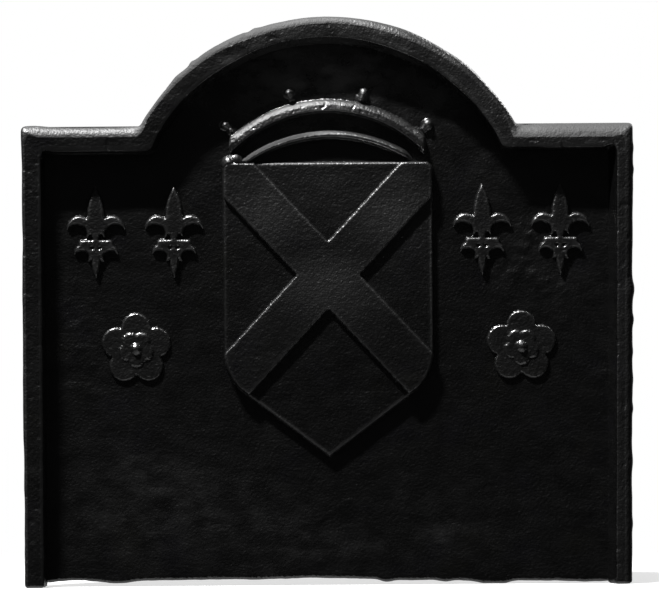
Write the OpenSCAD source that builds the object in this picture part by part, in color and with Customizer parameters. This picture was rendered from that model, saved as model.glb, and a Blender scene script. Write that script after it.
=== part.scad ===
// Arched fireback of cast iron: a plate inside a raised edge moulding, with a shield and
// saltire, a coronet with four pearls, four lily stamps and two rose stamps in relief.
//
// Each piece is drawn in front view, X across and Y up, with its relief along Z. stand()
// then sets it upright: drawing Y becomes +Z, and the relief rises towards -Y.

/* [Outline] */
// Width across the two top corners
top_width = 614; // [590:1:680]
// Width across the two feet
foot_width = 606; // [584:1:676]
// Height of the crown of the arch above the hearth
overall_height = 569; // [510:1:640]
// Rise of the arch's crown above the two straight shoulders
arch_rise = 108; // [95:1:120]
// Radius of the arch's outer edge
arch_radius = 217; // [205:1:235]
// Lift of the plate's lower edge above the hearth, beside the left foot
lift_left = 7; // [2:0.5:16]
// Lift of the plate's lower edge above the hearth, beside the right foot
lift_right = 3; // [2:0.5:16]

/* [Thickness] */
// Thickness of the plate
plate_thickness = 15; // [10:0.5:25]
// Height of the edge moulding above the plate's face
moulding_height = 22; // [14:0.5:30]
// Width of the edge moulding where it meets the plate
moulding_width = 24; // [20:0.5:28]
// Radius of the moulding's outer front edge
moulding_round = 10; // [4:0.5:13]
// How far the moulding's inner wall slopes outwards, from the plate up to its front
moulding_draft = 5; // [1:0.5:6]

/* [Shield] */
// Width of the shield
shield_width = 210; // [180:1:230]
// Drop from the crown of the arch to the shield's straight top
shield_drop = 145; // [138:0.5:160]
// Height of the shield, from its straight top to its point
shield_height = 295; // [260:1:330]
// Slope of the shield's two lower edges, in degrees
shield_flank = 37; // [30:1:42]
// Radius of the shield's two lower corners
shield_corner = 50; // [15:1:60]
// Radius of the shield's two upper corners
shield_ear = 8; // [2:0.5:15]
// Relief of the shield above the plate's face
shield_relief = 6; // [2:0.5:9]
// Width of each arm of the saltire
saltire_width = 49; // [25:0.5:55]
// Drop from the shield's top to the saltire's crossing
saltire_drop = 114; // [95:0.5:130]
// Slope of the saltire's arms, in degrees
saltire_angle = 47; // [42:0.5:50]
// Relief of the saltire above the shield's field
saltire_relief = 4.5; // [2:0.5:9]
// Width of the sloping edge on each side of the saltire's arms
saltire_draft = 1.5; // [0.5:0.1:3]

/* [Coronet] */
// Gap between the shield's top and the coronet's band, on the centre line
band_lift = 24; // [22:0.5:34]
// Radius of the band's middle line
band_radius = 150.5; // [140:0.5:165]
// Distance from the centre line to the band's centre, to the right
band_shift = 2.5; // [-5:0.5:5]
// Width of the band
band_width = 7; // [3:0.5:8]
// Relief of the band above the plate's face
band_relief = 8.5; // [4:0.5:12]
// Gap between the band and the coronet's bow, on the centre line
bow_gap = 19; // [14:0.5:24]
// Radius of the bow's middle line
bow_radius = 141; // [135:0.5:160]
// Distance from the centre line to each end of the bow, where it is cut off upright
bow_reach = 97.5; // [80:0.5:110]
// Width of the bow
bow_width = 15; // [8:0.5:15]
// Relief of the bow above the plate's face
bow_relief = 10.5; // [7.5:0.5:16]
// Radius of each pearl
pearl_radius = 4.8; // [3:0.1:6]
// Distance from the bow's outer edge to each pearl's middle
pearl_reach = 9; // [8:0.5:16]
// Width of each pearl's stem
stem_width = 6; // [3:0.5:6]
// Distance from each end of the bow in to the outer pearl's stem
pearl_inset = 2.5; // [0:0.5:15]
// Angle from upright of each inner pearl
inner_pearl_angle = 13.5; // [8:0.5:18]

/* [Stamps] */
// Relief of a lily stamp above the plate's face
lily_relief = 4.5; // [2:0.5:9]
// Height of a lily stamp
lily_height = 92; // [60:1:98]
// Drop from the shoulders to the lily stamps' middles
lily_drop = 106; // [90:1:115]
// Relief of a rose stamp's petals above the plate's face
rose_relief = 4; // [2:0.5:6]
// Diameter of a rose stamp
rose_diameter = 72; // [50:1:80]
// Drop from the shoulders to the rose stamps' middles
rose_drop = 223; // [216:1:240]
// Number of petals in a rose stamp
rose_petals = 5; // [4:1:8]

/* [Hidden] */

$fn = 96;
iron = [0.12, 0.12, 0.125];
worn_iron = [0.20, 0.20, 0.21];
margin = 10; // how far a cutting shape runs past what it cuts

depth = plate_thickness + moulding_height;
back_y = depth / 2;
face_y = back_y - plate_thickness;
shield_y = face_y - shield_relief;

shoulder_height = overall_height - arch_rise;
shield_top = overall_height - shield_drop;
shield_point = shield_top - shield_height;
saltire_centre = shield_top - saltire_drop;
lily_level = shoulder_height - lily_drop;
rose_level = shoulder_height - rose_drop;

// The arch is centred over the plate; the moulding's inner edge runs moulding_width inside it
arch_centre = overall_height - arch_radius;
inner_radius = arch_radius - moulding_width;
ledge = shoulder_height - moulding_width;
lean = atan((top_width - foot_width) / 2 / shoulder_height);

// Half width of the plate inside the moulding, at a height above the hearth
function inner_half(z) = foot_width / 2 + z * tan(lean) - moulding_width / cos(lean);

// Half width of a circle about the arch's centre, at a height above the hearth
function arch_half(radius, z) = sqrt(pow(radius, 2) - pow(z - arch_centre, 2));

// Mitres, from the moulding's inner edge to its outer edge: at the top corner and at the arch
corner_inner = [inner_half(ledge), ledge];
corner_outer = [top_width / 2, shoulder_height];
spring_inner = [arch_half(inner_radius, ledge), ledge];
spring_outer = [arch_half(arch_radius, shoulder_height), shoulder_height];
arch_reach = atan2(spring_inner[0], ledge - arch_centre) + 2;

// A point on the line from a to b, a margin beyond b
function beyond(a, b) = b + margin * (b - a) / norm(b - a);

// The bay between the shield and a stile holds two lilies side by side and one rose below
lily_spread = 0.63 * lily_height;
bay_start = shield_width / 2;
bay_end = inner_half(lily_level);
lily_gap = (bay_end - bay_start - 2 * lily_spread) / 3;
inner_lily_x = bay_start + lily_gap + lily_spread / 2;
outer_lily_x = bay_end - lily_gap - lily_spread / 2;
rose_x = (bay_start + inner_half(rose_level)) / 2;

// The band and the bow are arcs about points on the centre line
band_crest = shield_top + band_lift + band_width / 2;
band_centre = band_crest - band_radius;
bow_crest = band_crest + band_width / 2 + bow_gap + bow_width / 2;
bow_centre = bow_crest - bow_radius;
outer_pearl_angle = asin((bow_reach - pearl_inset) / (bow_radius + bow_width / 2));

// ---- Helpers ----

// Sets a front-view drawing upright, with its base at depth y
module stand(y) {
    translate([0, y, 0])
        rotate([90, 0, 0])
            children();
}

// Draws a piece of the right side on the right, side 1, or mirrored on the left, side -1
module on_side(side) {
    if (side < 0)
        mirror([1, 0, 0])
            children();
    else
        children();
}

// Keeps the part of a moulding that stands on the given front-view outline
module cut_to(outline) {
    intersection() {
        children();
        translate([0, 0, -margin])
            linear_extrude(depth + 2 * margin)
                polygon(outline);
    }
}

// A lens, pointed at its top and bottom, from two arcs
module lens(width, height) {
    radius = (pow(height, 2) + pow(width, 2)) / (4 * width);
    intersection_for (side = [-1, 1])
        translate([side * (radius - width / 2), 0])
            circle(radius);
}

// A crescent: a disc of radius r1 at the origin, less a disc of radius r2 at the given offset
module crescent(r1, r2, offset_to) {
    difference() {
        circle(r1);
        translate(offset_to)
            circle(r2);
    }
}

// A bead's section: straight sides and a half-round top, standing on X
module bead_section(width, height) {
    translate([-width / 2, 0])
        square([width, height - width / 2]);
    intersection() {
        translate([0, height - width / 2])
            circle(width / 2);
        translate([-width / 2, 0])
            square([width, height]);
    }
}

// ---- Plate and edge moulding ----

module back_plate() {
    color(iron)
        stand(back_y)
            linear_extrude(plate_thickness) {
                polygon([
                    [-inner_half(lift_left), lift_left],
                    [inner_half(lift_right), lift_right],
                    corner_inner,
                    [-corner_inner[0], corner_inner[1]]
                ]);
                translate([0, arch_centre])
                    circle(inner_radius);
            }
}

// The moulding's section: X runs inwards from the outer edge, Y from the back to the front
module moulding_section() {
    difference() {
        polygon([
            [0, 0],
            [moulding_width, 0],
            [moulding_width, plate_thickness],
            [moulding_width - moulding_draft, depth],
            [0, depth]
        ]);
        difference() {
            translate([-margin, depth - moulding_round])
                square([margin + moulding_round, moulding_round + margin]);
            translate([moulding_round, depth - moulding_round])
                circle(moulding_round);
        }
    }
}

// A straight moulding with its outer edge from point a to point b and the plate on its left
module straight_moulding(a, b) {
    translate([a[0], a[1], 0])
        rotate([0, 0, atan2(b[1] - a[1], b[0] - a[0])])
            translate([-2 * margin, 0, 0])
                rotate([90, 0, 90])
                    linear_extrude(norm(b - a) + 4 * margin)
                        moulding_section();
}

module stile(side) {
    color(iron)
        stand(back_y)
            on_side(side)
                cut_to([
                    [inner_half(0), 0],
                    [foot_width / 2 + margin, 0],
                    beyond(corner_inner, corner_outer),
                    corner_inner
                ])
                    straight_moulding([foot_width / 2, 0], corner_outer);
}

module shoulder(side) {
    color(iron)
        stand(back_y)
            on_side(side)
                cut_to([
                    spring_inner,
                    corner_inner,
                    beyond(corner_inner, corner_outer),
                    beyond(spring_inner, spring_outer)
                ])
                    straight_moulding(corner_outer, spring_outer);
}

module arch_moulding() {
    right_end = beyond(spring_inner, spring_outer);
    color(iron)
        stand(back_y)
            cut_to([
                [-spring_inner[0], spring_inner[1]],
                spring_inner,
                right_end,
                [arch_radius + margin, right_end[1]],
                [arch_radius + margin, overall_height + margin],
                [-arch_radius - margin, overall_height + margin],
                [-arch_radius - margin, right_end[1]],
                [-right_end[0], right_end[1]]
            ])
                translate([0, arch_centre, 0])
                    rotate([0, 0, 90 - arch_reach])
                        rotate_extrude(angle = 2 * arch_reach)
                            translate([arch_radius, 0])
                                mirror([1, 0])
                                    moulding_section();
}

// ---- Shield and saltire ----

module shield_outline() {
    half = shield_width / 2;
    flank_height = shield_point + half * tan(shield_flank);
    tangent = shield_corner * tan((90 - shield_flank) / 2);
    turn = flank_height + tangent;
    flank_end = [half - tangent * cos(shield_flank), flank_height - tangent * sin(shield_flank)];
    polygon([
        [0, shield_point],
        flank_end,
        [half, turn],
        [half, shield_top - shield_ear],
        [half - shield_ear, shield_top],
        [-half + shield_ear, shield_top],
        [-half, shield_top - shield_ear],
        [-half, turn],
        [-flank_end[0], flank_end[1]]
    ]);
    for (side = [-1, 1]) {
        translate([side * (half - shield_corner), turn])
            circle(shield_corner);
        translate([side * (half - shield_ear), shield_top - shield_ear])
            circle(shield_ear);
    }
}

module shield() {
    color(iron)
        stand(face_y)
            linear_extrude(shield_relief)
                shield_outline();
}

// One bar of the saltire, long enough to cross the whole shield
module saltire_bar(angle) {
    reach = shield_top - shield_point + shield_width;
    half = saltire_width / 2;
    translate([0, saltire_centre, 0])
        rotate([0, 0, angle])
            rotate([90, 0, 90])
                linear_extrude(reach, center = true)
                    polygon([
                        [-half, 0],
                        [half, 0],
                        [half - saltire_draft, saltire_relief],
                        [-half + saltire_draft, saltire_relief]
                    ]);
}

module saltire() {
    color(worn_iron)
        stand(shield_y)
            intersection() {
                union() {
                    saltire_bar(saltire_angle);
                    saltire_bar(-saltire_angle);
                }
                translate([0, 0, -margin])
                    linear_extrude(saltire_relief + 2 * margin)
                        shield_outline();
            }
}

// ---- Coronet ----

// The band springs from the shield's top edge
module coronet_band() {
    color(worn_iron)
        stand(face_y)
            translate([band_shift, 0, 0])
                intersection() {
                    translate([0, band_centre, 0])
                        rotate_extrude(angle = 180)
                            translate([band_radius, 0])
                                bead_section(band_width, band_relief);
                    translate([-band_radius - margin, shield_top, -margin])
                        cube([2 * (band_radius + margin), band_radius, band_relief + 2 * margin]);
                }
}

module coronet_bow() {
    color(worn_iron)
        stand(face_y)
            intersection() {
                translate([0, bow_centre, 0])
                    rotate_extrude(angle = 180)
                        translate([bow_radius, 0])
                            bead_section(bow_width, bow_relief);
                translate([-bow_reach, bow_centre, -margin])
                    cube([2 * bow_reach, bow_radius + bow_width, bow_relief + 2 * margin]);
            }
}

// A pearl on its stem, at an angle from upright, clockwise. Both are halved by the plate's face.
module pearl(angle) {
    foot = bow_radius + bow_width / 2;
    size = pearl_reach + pearl_radius + margin;
    color(worn_iron)
        stand(face_y)
            translate([0, bow_centre, 0])
                rotate([0, 0, 90 - angle])
                    translate([foot, 0, 0])
                        intersection() {
                            union() {
                                translate([pearl_reach, 0, 0])
                                    sphere(pearl_radius);
                                rotate([0, 90, 0])
                                    cylinder(h = pearl_reach, d = stem_width);
                            }
                            translate([0, -size, 0])
                                cube([2 * size, 2 * size, size]);
                        }
}

// ---- Stamps ----

// One side petal and one side tail of a lily that is one unit high, on the right
module unit_lily_side() {
    translate([0.18, 0.043])
        crescent(0.136, 0.114, [0.033, -0.065]);
    translate([0.136, -0.228])
        crescent(0.103, 0.082, [0.027, -0.049]);
}

// A lily one unit high, about its middle: upper petal, tail, collar, side petals and side tails
module unit_lily() {
    collar_half = 0.15;
    collar_height = 0.076;
    translate([0, 0.185])
        lens(0.185, 0.63);
    translate([0, -0.293])
        lens(0.098, 0.413);
    translate([0, -0.12]) {
        square([2 * collar_half, collar_height], center = true);
        for (side = [-1, 1])
            translate([side * collar_half, 0])
                circle(d = collar_height);
    }
    unit_lily_side();
    mirror([1, 0])
        unit_lily_side();
}

module lily(x) {
    color(worn_iron)
        stand(face_y)
            translate([x, lily_level, 0])
                linear_extrude(lily_relief)
                    scale(lily_height)
                        unit_lily();
}

// The rose about its middle: a ring of petals, a smaller ring on top, and a domed heart
module rose(x) {
    radius = rose_diameter / 2;
    petal = radius * 0.42;
    inner_petal = radius * 0.22;
    inner_step = 1.2;
    heart = radius * 0.2;
    heart_rise = 4;
    turn = 360 / rose_petals;
    color(worn_iron)
        stand(face_y)
            translate([x, rose_level, 0]) {
                linear_extrude(rose_relief) {
                    circle(radius - petal);
                    for (i = [0 : rose_petals - 1])
                        rotate(90 + i * turn)
                            translate([radius - petal, 0])
                                circle(petal);
                }
                linear_extrude(rose_relief + inner_step) {
                    circle(inner_petal);
                    for (i = [0 : rose_petals - 1])
                        rotate(90 + (i + 0.5) * turn)
                            translate([inner_petal * 1.2, 0])
                                circle(inner_petal);
                }
                intersection() {
                    translate([0, 0, rose_relief + heart_rise - heart])
                        sphere(heart);
                    translate([-radius, -radius, 0])
                        cube([2 * radius, 2 * radius, rose_relief + heart_rise + margin]);
                }
            }
}

back_plate();
stile(-1);  // stile_left
stile(1);  // stile_right
shoulder(-1);  // shoulder_left
shoulder(1);  // shoulder_right
arch_moulding();
shield();
saltire();
coronet_band();
coronet_bow();
pearl(-outer_pearl_angle);  // pearl_outer_left
pearl(-inner_pearl_angle);  // pearl_inner_left
pearl(inner_pearl_angle);  // pearl_inner_right
pearl(outer_pearl_angle);  // pearl_outer_right
lily(-outer_lily_x);  // lily_outer_left
lily(-inner_lily_x);  // lily_inner_left
lily(inner_lily_x);  // lily_inner_right
lily(outer_lily_x);  // lily_outer_right
rose(-rose_x);  // rose_left
rose(rose_x);  // rose_right
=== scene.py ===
"""Looks of the arched fireback: blackened, sand-cast iron in relief, lit from high on the left.

The whole front is one casting, so its pieces share one skin. The edge moulding is one sweep, cut
into its five lengths. Each relief piece is a height field, softened as a sand mould softens it and
seated on the plate. The coronet's two arcs come from sections of their own, and the other pieces from
their solids. Sizes are in millimetres until a mesh is made.
"""
import math

import bmesh
import bpy
import numpy as np
from mathutils import Matrix, Vector
from mathutils.bvhtree import BVHTree


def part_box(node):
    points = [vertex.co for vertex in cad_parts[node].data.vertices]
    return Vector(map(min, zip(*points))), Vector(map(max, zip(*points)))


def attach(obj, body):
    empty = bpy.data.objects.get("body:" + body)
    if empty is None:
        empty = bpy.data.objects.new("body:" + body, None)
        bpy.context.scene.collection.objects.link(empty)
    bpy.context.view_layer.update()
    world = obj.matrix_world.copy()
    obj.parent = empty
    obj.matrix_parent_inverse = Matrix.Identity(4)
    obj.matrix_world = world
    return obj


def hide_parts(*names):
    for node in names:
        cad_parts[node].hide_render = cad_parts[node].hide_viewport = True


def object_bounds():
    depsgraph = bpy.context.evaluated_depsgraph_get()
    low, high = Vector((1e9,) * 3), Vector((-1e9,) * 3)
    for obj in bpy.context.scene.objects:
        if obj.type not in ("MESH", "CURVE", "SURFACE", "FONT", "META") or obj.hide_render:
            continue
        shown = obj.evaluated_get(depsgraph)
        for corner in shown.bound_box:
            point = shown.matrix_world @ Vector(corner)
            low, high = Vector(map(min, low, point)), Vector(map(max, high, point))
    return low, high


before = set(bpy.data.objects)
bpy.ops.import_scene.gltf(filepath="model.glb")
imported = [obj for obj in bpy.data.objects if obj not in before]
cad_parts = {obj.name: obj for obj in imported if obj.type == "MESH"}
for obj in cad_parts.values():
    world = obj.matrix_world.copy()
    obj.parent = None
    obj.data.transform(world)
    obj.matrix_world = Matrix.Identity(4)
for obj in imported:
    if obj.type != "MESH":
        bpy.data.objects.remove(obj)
cad_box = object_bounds()

MM = 0.001


def box_mm(node):
    """Lowest and highest corners of a CAD node, in millimetres."""
    low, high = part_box(node)
    return np.array(low) / MM, np.array(high) / MM


# ---------------------------------------------------------------- sizes, from the frame

plate_low, plate_high = box_mm("back_plate")
stile_low, stile_high = box_mm("stile_right")
arch_high = box_mm("arch_moulding")[1]
shield_low = box_mm("shield")[0]

FACE_Y, BACK_Y, FRONT_Y = plate_low[1], plate_high[1], stile_low[1]
DEPTH = BACK_Y - FRONT_Y
PLATE = BACK_Y - FACE_Y
SHOULDER, CROWN = stile_high[2], arch_high[2]

# What the boxes don't give
TOP_HALF = 306.0  # half width at the shoulders; the rough edge reaches out a little beyond this
ARCH_RADIUS = 217.0
LEFT_FOOT, RIGHT_FOOT = 305.5, 301.8  # the casting stands a little out of square
LIFT_LEFT, LIFT_RIGHT = 6.5, 2.0  # of the plate's lower edge above the two feet

ARCH_CENTRE = CROWN - ARCH_RADIUS


# ---------------------------------------------------------------- noise

# Odd numbers that scatter the lattice's corners, and the largest number of 32 bits
SCATTER_X, SCATTER_Y, SCATTER_Z, SCATTER_SEED = 0x27D4EB2D, 0x165667B1, 0x9E3779B1, 0x85EBCA6B
STIRS = [(15, 0x2C1B3C6D), (12, 0x297A2D39)]
LAST_SHIFT = 15
LARGEST = 0xFFFFFFFF

NOISE_ORIGIN = 1000.0  # far enough out that every cell's number is positive
SEED_OFFSET = 0.37  # between one seed's cells and the next's, in cells
LAYER_SEEDS = 17  # between the seeds of two layers
LAYER_SHRINK = 2.03


def lattice(ix, iy, iz, seed):
    """A repeatable number from 0 to 1 for each corner of the lattice."""
    h = ix.astype(np.uint32) * np.uint32(SCATTER_X)
    h ^= iy.astype(np.uint32) * np.uint32(SCATTER_Y)
    h ^= iz.astype(np.uint32) * np.uint32(SCATTER_Z)
    h += np.uint32((seed * SCATTER_SEED) & LARGEST)
    for shift, factor in STIRS:
        h ^= h >> np.uint32(shift)
        h *= np.uint32(factor)
    h ^= h >> np.uint32(LAST_SHIFT)
    return h.astype(np.float64) / float(LARGEST)


def noise(points, size, seed):
    """Smooth noise from -1 to 1, with lumps about size across; size is a number, or one per axis."""
    p = points / np.asarray(size, float) + NOISE_ORIGIN + SEED_OFFSET * seed
    cell = np.floor(p).astype(np.int64)
    f = p - cell
    f = f * f * f * (f * (f * 6 - 15) + 10)
    total = 0.0
    for dx in (0, 1):
        wx = f[:, 0] if dx else 1 - f[:, 0]
        for dy in (0, 1):
            wy = f[:, 1] if dy else 1 - f[:, 1]
            for dz in (0, 1):
                wz = f[:, 2] if dz else 1 - f[:, 2]
                corner = lattice(cell[:, 0] + dx, cell[:, 1] + dy, cell[:, 2] + dz, seed)
                total = total + wx * wy * wz * corner
    return 2 * total - 1


def layers(points, size, seed, count=3, gain=0.5):
    """Several layers of noise, each about half the size of the one before."""
    total, amount, size = 0.0, 1.0, np.asarray(size, float)
    for i in range(count):
        total = total + amount * noise(points, size, seed + LAYER_SEEDS * i)
        amount *= gain
        size = size / LAYER_SHRINK
    return total


def ramp(x, low, high):
    """0 up to low, 1 from high on, smooth between."""
    t = np.clip((x - low) / (high - low), 0, 1)
    return t * t * (3 - 2 * t)


def on_face(x, z):
    """Points of the drawing plane, for noise."""
    return np.stack([x, np.zeros_like(x), z], axis=1)


def spot(x, z, cx, cz, rx, rz):
    """A soft patch, 1 at its middle."""
    return np.exp(-(((x - cx) / rx) ** 2 + ((z - cz) / rz) ** 2))


def dome(x, z, cx, cz, rx, rz):
    """A rounded lump, 1 at its middle and 0 from its edge on."""
    r = ((x - cx) / rx) ** 2 + ((z - cz) / rz) ** 2
    return np.clip(1 - r, 0, 1) ** 2


# ---------------------------------------------------------------- the casting's surface

# Where the photo shows rough casting: middle x and z, half width, half height, lump height
SCABS = [
    (203, 350, 20, 14, 1.3),
    (190, 322, 34, 14, 0.8),
    (212, 300, 40, 20, 0.8),
    (-250, 262, 20, 34, 0.8),
    (-246, 205, 22, 26, 0.6),
    (274, 208, 7, 10, 0.9),
    (235, 262, 8, 6, 0.8),
    (110, 50, 24, 9, 0.6),
    (74, 92, 5, 12, 0.7),
    (258, 72, 8, 6, 0.8),
    (157, 100, 6, 4, 0.8),
]

# A cold shut, where two streams of iron met: a low ridge that wanders over the lower plate
COLD_SHUT = [
    (-5, 13), (-16, 26), (-18, 40), (-18, 55), (-9, 66), (8, 77), (18, 83), (30, 73), (40, 62), (50, 52),
]


def ridge(x, z, line, width):
    """1 on the line, falling to 0 over about width to each side."""
    nearest = np.full(x.shape, 1e9)
    for (ax, az), (bx, bz) in zip(line, line[1:]):
        dx, dz = bx - ax, bz - az
        t = np.clip(((x - ax) * dx + (z - az) * dz) / (dx * dx + dz * dz), 0, 1)
        nearest = np.minimum(nearest, np.hypot(x - ax - t * dx, z - az - t * dz))
    return np.exp(-((nearest / width) ** 2))


def swell(x, z):
    """How far the cast face stands above its flat: broad swells and flatter ripples."""
    p = on_face(x, z)
    bulge = 1.6 * spot(x, z, 0, 330, 150, 150)
    return (
        bulge
        + 0.55 * noise(p, 130, seed=3)
        + 0.30 * noise(p, 48, seed=4)
        + 0.10 * noise(p, (32, 30, 16), seed=5)
    )


def grain(x, z):
    """Finer roughness of the sand-cast face: streaks, lumps, scabs and pits."""
    p = on_face(x, z)
    streaks = 0.07 * layers(p, (12, 12, 9), seed=11, count=2)
    lumps = 0.10 * np.maximum(noise(p, 7, seed=21), 0) ** 2
    pits = -0.15 * ramp(noise(p, 4.5, seed=31), 0.6, 0.9)
    rough = np.zeros_like(x)
    broken = np.maximum(layers(p, 6.5, seed=41, count=2), -0.1) + 0.5 * noise(p, 16, seed=43)
    for cx, cz, rx, rz, height in SCABS:
        rough += height * spot(x, z, cx, cz, rx, rz) * broken
    wander = 3.0 * noise(p, 18, seed=51)
    shut = 0.45 * ridge(x + wander, z + wander, COLD_SHUT, 1.7)
    return streaks + lumps + pits + rough + shut


BACK_FROM, BACK_FULL = 2.5, 0.5  # how far before the back plane the back's skin starts and is full


def back_relief(p):
    """Roughness of the open-sand back: how far it stands in from the back plane."""
    rough = 0.7 * noise(p, 60, seed=91) + 0.5 * noise(p, 17, seed=92) + 0.25 * noise(p, 8, seed=93)
    pits = 0.9 * ramp(noise(p, 10, seed=94), 0.5, 0.85)
    return np.maximum(0.9 + rough + pits, 0.05)


def on_back(points):
    """1 for points on the back plane, falling to 0 over the last few millimetres before it."""
    return ramp(points[:, 1], BACK_Y - BACK_FROM, BACK_Y - BACK_FULL)


# Where the face looks paler: dusty patches, and at the top of the arch, in the moulding's shadow, a broad
# pale patch that is painted light: middle x and z, half width, half height, amount
PALE_AND_PAINTED_LIGHT = [
    (-168, 85, 80, 52, 1.0),
    (-70, 60, 60, 40, 0.6),
    (-15, 35, 70, 26, 0.8),
    (73, 92, 10, 14, 0.9),
    (110, 50, 26, 10, 0.9),
    (203, 350, 22, 16, 0.7),
    (212, 305, 40, 22, 0.4),
    (150, 420, 22, 26, 0.7),
    # painted light: the top of the arch under the moulding is made paler, as if light reached into its
    # shadow
    (-12, 512, 105, 42, 3.0),
    (130, 60, 70, 34, 0.35),
    (105, 490, 40, 34, 1.6),
    (262, 445, 60, 12, 0.7),
]
MOST_DUST_AND_PAINTED_LIGHT = 3.0


def dust(x, z):
    """How pale the face is, from dust and, under the arch's top, from painted light laid into the moulding's
    shadow: 0 where it is clean, the largest where it is palest.
    """
    broken = 0.62 + 0.55 * layers(on_face(x, z), (30, 30, 13), seed=61)
    patches = np.zeros_like(x)
    for cx, cz, rx, rz, amount in PALE_AND_PAINTED_LIGHT:
        patches = np.maximum(patches, amount * spot(x, z, cx, cz, rx, rz))
    return np.clip(patches * broken, 0, MOST_DUST_AND_PAINTED_LIGHT)


# ---------------------------------------------------------------- meshes

def put_number(mesh, name, values):
    """Gives a mesh a number at each of its points."""
    attribute = mesh.attributes.new(name, "FLOAT", "POINT")
    attribute.data.foreach_set("value", np.asarray(values, np.float32))


def make_object(name, points, faces, node, wear, dull=None, flat_faces=0, normals=None):
    """A mesh from points in millimetres, that replaces a CAD node. wear and dull are numbers per point:
    how worn it is, and how much duller than the front. The last flat_faces of its faces are shaded
    flat. normals, if given, are its points' own."""
    mesh = bpy.data.meshes.new(name)
    mesh.from_pydata((points * MM).tolist(), [], [list(face) for face in faces])
    put_number(mesh, "wear", wear)
    # the face's dust, and the painted light laid into the shadow under the arch's top
    put_number(mesh, "dust", dust(points[:, 0], points[:, 2]))
    put_number(mesh, "dull", np.zeros(len(points)) if dull is None else dull)
    smooth = np.ones(len(faces), bool)
    if flat_faces:
        smooth[-flat_faces:] = False
    mesh.polygons.foreach_set("use_smooth", smooth)
    if normals is not None:
        share_normals(mesh, normals, smooth)
    obj = bpy.data.objects.new(name, mesh)
    bpy.context.scene.collection.objects.link(obj)
    mesh.materials.append(iron)
    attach(obj, "root")
    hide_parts(node)
    return obj


def share_normals(mesh, normals, smooth):
    """Gives the smooth faces' corners their points' normals, so that no joint shows between pieces."""
    corners = np.empty(len(mesh.loops), np.int32)
    mesh.loops.foreach_get("vertex_index", corners)
    sizes = np.empty(len(mesh.polygons), np.int32)
    mesh.polygons.foreach_get("loop_total", sizes)
    flat = np.empty(len(mesh.polygons) * 3, np.float32)
    mesh.polygons.foreach_get("normal", flat)
    facing = np.repeat(flat.reshape(-1, 3), sizes, axis=0)
    wanted = np.where(np.repeat(smooth, sizes)[:, None], normals[corners], facing)
    mesh.normals_split_custom_set(wanted.tolist())


def capped_tube(grid):
    """Points and faces of a tube, given as rings of points, with a fan over each end as its last faces."""
    rings, around = grid.shape[:2]
    points = np.vstack([grid.reshape(-1, 3), grid[0].mean(0), grid[-1].mean(0)])
    i = np.arange((rings - 1) * around).reshape(rings - 1, around)
    j = np.roll(i, -1, axis=1)
    faces = np.stack([i, j, j + around, i + around], axis=2).reshape(-1, 4).tolist()
    first, last = rings * around, rings * around + 1
    top = (rings - 1) * around
    for k in range(around):
        nxt = (k + 1) % around
        faces.append((first, nxt, k))
        faces.append((last, top + k, top + nxt))
    return points, faces, 2 * around


# ---------------------------------------------------------------- edge moulding

STATION = 1.5  # between rings along the moulding
LENGTHS = ["stile_left", "shoulder_left", "arch_moulding", "shoulder_right", "stile_right"]
LENGTH_MM = [461, 118, 454, 118, 461]

CREST_SPARE = 0.5  # room for the rough skin between the crest and the model's front
BACK_ROUND = 3.0  # radius at the back's outer corner
CRISP = 0.2  # between the points that keep the lip's edge crisp
BACK_POINTS = 7

# How the section goes on inside the plate: how far beyond its foot, and how high over the back plane.
# It comes to the back plane INSIDE_END short of its foot.
INSIDE = [(0.1, PLATE - 0.4), (0.6, PLATE - 3.0), (-1.0, 6.0), (-2.0, 3.0)]
INSIDE_END = 3

# Where the moulding turns: how far the rounding reaches and how strong it is, in rings
CORNER_TURN, ARCH_TURN = (5, 2.2), (3, 1.4)

# The section along the moulding, from the left foot, 0, to the right foot, 5, a whole number for each
# length. In each row: the outer round's radius, how far the face falls from its crest to the outer
# edge, how far in the crest and the lip are, how far the lip lies under the crest, and how far in the
# foot is; then how worn the round and the face are.
SECTIONS = np.array([
    (0.00, 2.6, 0.4, 17.0, 20.0, 1.2, 22.0, 1.0, 0.1),
    (0.97, 2.6, 0.4, 17.5, 20.0, 1.0, 22.5, 1.0, 0.1),
    (1.04, 10.8, 0.2, 20.0, 26.0, 0.8, 28.5, 2.5, 0.1),
    (1.92, 10.8, 0.2, 20.0, 26.0, 0.8, 28.5, 2.5, 0.1),
    (2.03, 2.8, 1.4, 18.0, 20.5, 0.5, 25.0, 4.2, 0.0),
    (2.22, 5.0, 2.0, 17.0, 20.5, 0.6, 26.0, 4.4, 0.1),
    (2.36, 8.6, 2.2, 17.0, 20.5, 0.6, 26.5, 3.9, 0.2),
    (2.50, 7.5, 2.6, 17.0, 20.5, 0.6, 27.0, 3.4, 0.3),
    (2.70, 9.0, 3.0, 16.5, 21.0, 0.7, 26.5, 1.4, 0.3),
    (2.97, 5.0, 2.6, 18.0, 22.0, 0.7, 25.5, 1.0, 0.7),
    (3.06, 14.5, 0.8, 20.0, 24.5, 0.7, 26.0, 3.8, 0.4),
    (3.96, 14.5, 0.8, 20.0, 24.5, 0.7, 26.0, 3.8, 0.4),
    (4.03, 9.0, 2.6, 15.5, 16.5, 0.6, 24.0, 1.1, 0.6),
    (5.00, 9.0, 2.6, 15.5, 16.5, 0.6, 24.0, 1.1, 0.6),
])


def half_width(t, z, foot):
    """Half width at a height, a distance t in from the outer edge."""
    slope = (TOP_HALF - foot) / SHOULDER
    return foot + z * slope - t * math.hypot(1, slope)


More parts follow.
